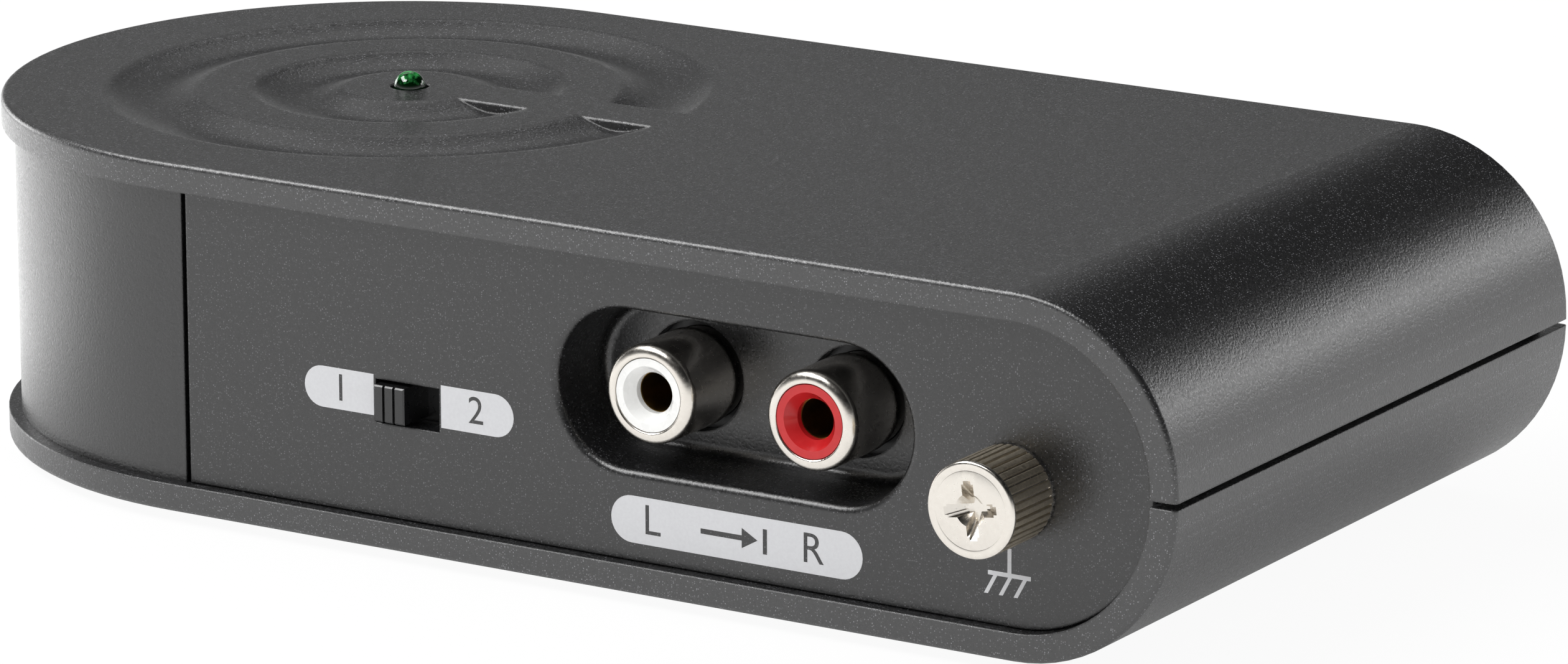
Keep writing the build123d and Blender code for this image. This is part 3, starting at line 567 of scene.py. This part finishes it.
def earth_sign(curve):
    """Frame earth: a stem on a bar with three strokes falling to the left."""
    half = EARTH_LINE / 2
    x, top, foot = EARTH_STEM
    draw(curve, [(x - half, foot), (x + half, foot), (x + half, top), (x - half, top)])
    left, right, low, high = EARTH_BAR
    draw(curve, [(left, low), (right, low), (right, high), (left, high)])
    fall, slant = EARTH_DROP
    for x in EARTH_STROKES:
        draw(
            curve,
            [
                (x - half, low),
                (x - half - slant, low - fall),
                (x + half - slant, low - fall),
                (x + half, low),
            ],
        )


for name in PADS:
    pad(name)
printed("earth_sign", earth_sign)


# Thumb screw
HEAD = 5.95             # length of the head, on its washer
HEAD_RADIUS = 3.95
WASHER = 0.25
RIM = 0.35
RIM_SLOPE = 0.02        # rise of the rim's underside on its way out
RIM_ROUND = 0.28
RIM_STEPS = 6
FACE_RING = 3.2
FACE_RING_HALF = 0.05   # half the width of the ring's groove
FACE_RING_DEPTH = 0.02
SHANK_RADIUS = 1.95
SHANK_TIP = -11.75
SHANK_BREAK = 0.4
LATHE_STEPS = 144
SCREW_CREASE = 28       # degrees from which an edge stays sharp

# Its cross recess
CROSS_REACH = 2.45
CROSS_ARM = 1.1
CROSS_CORNER = 0.2
CROSS_DEPTH = 1.2
CROSS_TURN = math.radians(8)
CUTTER_RISE = 0.2               # the cutters stand out of the face by this
BLADE_TOP = (1.06, 1.03)        # its reach and arm there, as shares of the cross's own
BLADE_FOOT = (0.45, 0.6)        # the same at the recess's floor
CONE_RADII = (0.4, 1.5)         # at the recess's floor and at the cutters' top
CONE_STEPS = 32

# Its knurl
KNURL_ROOT = 3.76
KNURLS = 36
KNURL_SINK = 0.06       # depth by which a rib's foot stands in the head
KNURL_FOOT = 0.66
KNURL_CREST = 0.44
KNURL_ROUND = 0.07
KNURL_CREASE = 40


def lathe(profile, steps):
    """Closed solid turned about Z from (radius, height) points, first and last on the axis."""
    form = bmesh.new()
    rings = []
    for radius, height in profile:
        if radius == 0:
            rings.append([form.verts.new((0, 0, height * MM))])
            continue
        angles = [2 * math.pi * step / steps for step in range(steps)]
        rings.append(
            [
                form.verts.new((radius * MM * math.cos(a), radius * MM * math.sin(a), height * MM))
                for a in angles
            ]
        )
    for low, high in zip(rings, rings[1:]):
        for step in range(steps):
            after = (step + 1) % steps
            if len(low) == 1:
                form.faces.new((low[0], high[after], high[step]))
            elif len(high) == 1:
                form.faces.new((low[step], low[after], high[0]))
            else:
                form.faces.new((low[step], low[after], high[after], high[step]))
    return form


def to_mesh(form, name):
    """Mesh from a bmesh, with its faces turned outwards."""
    bmesh.ops.recalc_face_normals(form, faces=form.faces)
    mesh = bpy.data.meshes.new(name)
    form.to_mesh(mesh)
    form.free()
    return mesh


def smooth(mesh, degrees):
    """Shades a mesh smooth, but for edges that turn by more than an angle."""
    mesh.polygons.foreach_set("use_smooth", [True] * len(mesh.polygons))
    mesh.set_sharp_from_angle(angle=math.radians(degrees))


def cross_cutters():
    """Two tapered blades and a cone that cut the cross recess into a face at height 0."""
    cutters = []
    for turn in (0, math.pi / 2):
        form = bmesh.new()
        levels = []
        for height, shares in ((CUTTER_RISE, BLADE_TOP), (-CROSS_DEPTH, BLADE_FOOT)):
            reach = CROSS_REACH * shares[0]
            arm = CROSS_ARM * shares[1]
            corners = [(reach, arm / 2), (-reach, arm / 2), (-reach, -arm / 2), (reach, -arm / 2)]
            levels.append([form.verts.new((u * MM, v * MM, height * MM)) for u, v in corners])
        form.faces.new(levels[0])
        form.faces.new(levels[1])
        for step in range(4):
            after = (step + 1) % 4
            form.faces.new(
                (levels[0][step], levels[0][after], levels[1][after], levels[1][step])
            )
        upright = [edge for edge in form.edges if edge.verts[0].co.z * edge.verts[1].co.z < 0]
        bmesh.ops.bevel(form, geom=upright, offset=CROSS_CORNER * MM, segments=4, affect="EDGES")
        bmesh.ops.rotate(form, verts=form.verts, matrix=Matrix.Rotation(turn + CROSS_TURN, 3, "Z"))
        cutters.append(to_mesh(form, "blade"))
    foot, top = CONE_RADII
    cone = [(0, -CROSS_DEPTH), (foot, -CROSS_DEPTH), (top, CUTTER_RISE), (0, CUTTER_RISE)]
    cutters.append(to_mesh(lathe(cone, CONE_STEPS), "cone"))
    return cutters


def knurl_nodes():
    """Geometry nodes: ribs of trapezoid section, all round a head and along it."""
    tree = bpy.data.node_groups.new("knurl", "GeometryNodeTree")
    face = tree.interface
    face.new_socket("Geometry", in_out="OUTPUT", socket_type="NodeSocketGeometry")
    face.new_socket("Count", in_out="INPUT", socket_type="NodeSocketInt")
    for name in ("Radius", "Height", "Foot", "Crest", "Rounding", "Length"):
        face.new_socket(name, in_out="INPUT", socket_type="NodeSocketFloat")
    face.new_socket("Finish", in_out="INPUT", socket_type="NodeSocketMaterial")
    given = add(tree, "NodeGroupInput").outputs
    section = add(
        tree,
        "GeometryNodeCurvePrimitiveQuadrilateral",
        {
            "Height": given["Height"],
            "Bottom Width": given["Foot"],
            "Top Width": given["Crest"],
            "Offset": 0.0,
        },
        mode="TRAPEZOID",
    )
    eased = add(
        tree,
        "GeometryNodeFilletCurve",
        {"Curve": section.outputs[0], "Radius": given["Rounding"], "Count": 3},
        mode="POLY",
    )
    tip = add(tree, "ShaderNodeCombineXYZ", {"Z": given["Length"]})
    run = add(tree, "GeometryNodeCurvePrimitiveLine", {"Start": (0, 0, 0), "End": tip.outputs[0]})
    rib = add(
        tree,
        "GeometryNodeCurveToMesh",
        {"Curve": run.outputs[0], "Profile Curve": eased.outputs[0], "Fill Caps": True},
    )
    places = add(
        tree, "GeometryNodeMeshCircle", {"Vertices": given["Count"], "Radius": given["Radius"]}
    )
    index = add(tree, "GeometryNodeInputIndex")
    share = compute(tree, "DIVIDE", index.outputs[0], given["Count"])
    angle = compute(tree, "MULTIPLY_ADD", share, 2 * math.pi, -math.pi / 2)
    turn = add(tree, "ShaderNodeCombineXYZ", {"Z": angle})
    ribs = add(
        tree,
        "GeometryNodeInstanceOnPoints",
        {"Points": places.outputs[0], "Instance": rib.outputs[0], "Rotation": turn.outputs[0]},
    )
    real = add(tree, "GeometryNodeRealizeInstances", {0: ribs.outputs[0]})
    done = add(tree, "GeometryNodeSetMaterial", {0: real.outputs[0], "Material": given["Finish"]})
    out = add(tree, "NodeGroupOutput")
    tree.links.new(done.outputs[0], out.inputs[0])
    return tree


def on_screw_axis(mesh):
    """Brings a mesh that stands on the origin out of the panel, where the screw is."""
    mesh.transform(Matrix.Rotation(math.pi / 2, 4, "X"))
    mesh.transform(Matrix.Translation(Vector((SCREW_X, PANEL_Y - WASHER, SCREW_Z)) * MM))
    return mesh


def thumb_screw():
    """Turned head with a rounded rim, a ring cut in its face and a punched cross, on a shank."""
    rounded = []
    for step in range(RIM_STEPS + 1):
        angle = math.radians(90 * step / RIM_STEPS)
        rounded.append(
            (
                HEAD_RADIUS - RIM_ROUND * (1 - math.cos(angle)),
                HEAD - RIM_ROUND * (1 - math.sin(angle)),
            )
        )
    profile = [
        (0, SHANK_TIP),
        (SHANK_RADIUS - SHANK_BREAK, SHANK_TIP),
        (SHANK_RADIUS, SHANK_TIP + SHANK_BREAK),
        (SHANK_RADIUS, 0),
        (KNURL_ROOT, 0),
        (KNURL_ROOT, HEAD - RIM),
        (HEAD_RADIUS, HEAD - RIM + RIM_SLOPE),
        *rounded,
        (FACE_RING + FACE_RING_HALF, HEAD),
        (FACE_RING, HEAD - FACE_RING_DEPTH),
        (FACE_RING - FACE_RING_HALF, HEAD),
        (0, HEAD),
    ]
    head = bpy.data.objects.new("head", to_mesh(lathe(profile, LATHE_STEPS), "head"))
    bpy.context.scene.collection.objects.link(head)
    tools = []
    for mesh in cross_cutters():
        mesh.transform(Matrix.Translation((0, 0, HEAD * MM)))
        tool = bpy.data.objects.new("tool", mesh)
        bpy.context.scene.collection.objects.link(tool)
        tools.append(tool)
        cut = head.modifiers.new("cut", "BOOLEAN")
        cut.operation = "DIFFERENCE"
        cut.solver = "EXACT"
        cut.object = tool
    mesh = on_screw_axis(baked(head))
    for tool in tools:
        bpy.data.objects.remove(tool, do_unlink=True)
    smooth(mesh, SCREW_CREASE)
    screw = piece("thumb_screw", mesh, "terminal_screw", "nickel_plate")
    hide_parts("ground_screw")


def knurl():
    """Straight knurl round the thumb screw's head."""
    tree = knurl_nodes()
    holder = bpy.data.objects.new("knurl_holder", bpy.data.meshes.new("holder"))
    bpy.context.scene.collection.objects.link(holder)
    nodes = holder.modifiers.new("knurl", "NODES")
    nodes.node_group = tree
    height = HEAD_RADIUS - KNURL_ROOT + KNURL_SINK
    values = {
        "Count": KNURLS,
        "Radius": (HEAD_RADIUS - height / 2) * MM,
        "Height": height * MM,
        "Foot": KNURL_FOOT * MM,
        "Crest": KNURL_CREST * MM,
        "Rounding": KNURL_ROUND * MM,
        "Length": (HEAD - RIM) * MM,
        "Finish": shaded_knurl_finish,
    }
    for item in tree.interface.items_tree:
        if item.in_out == "INPUT":
            nodes[item.identifier] = values[item.name]
    mesh = on_screw_axis(baked(holder))
    smooth(mesh, KNURL_CREASE)
    piece("thumb_screw_knurl", mesh, "terminal_screw", "nickel_plate", shaded_knurl_finish)


thumb_screw()
knurl()
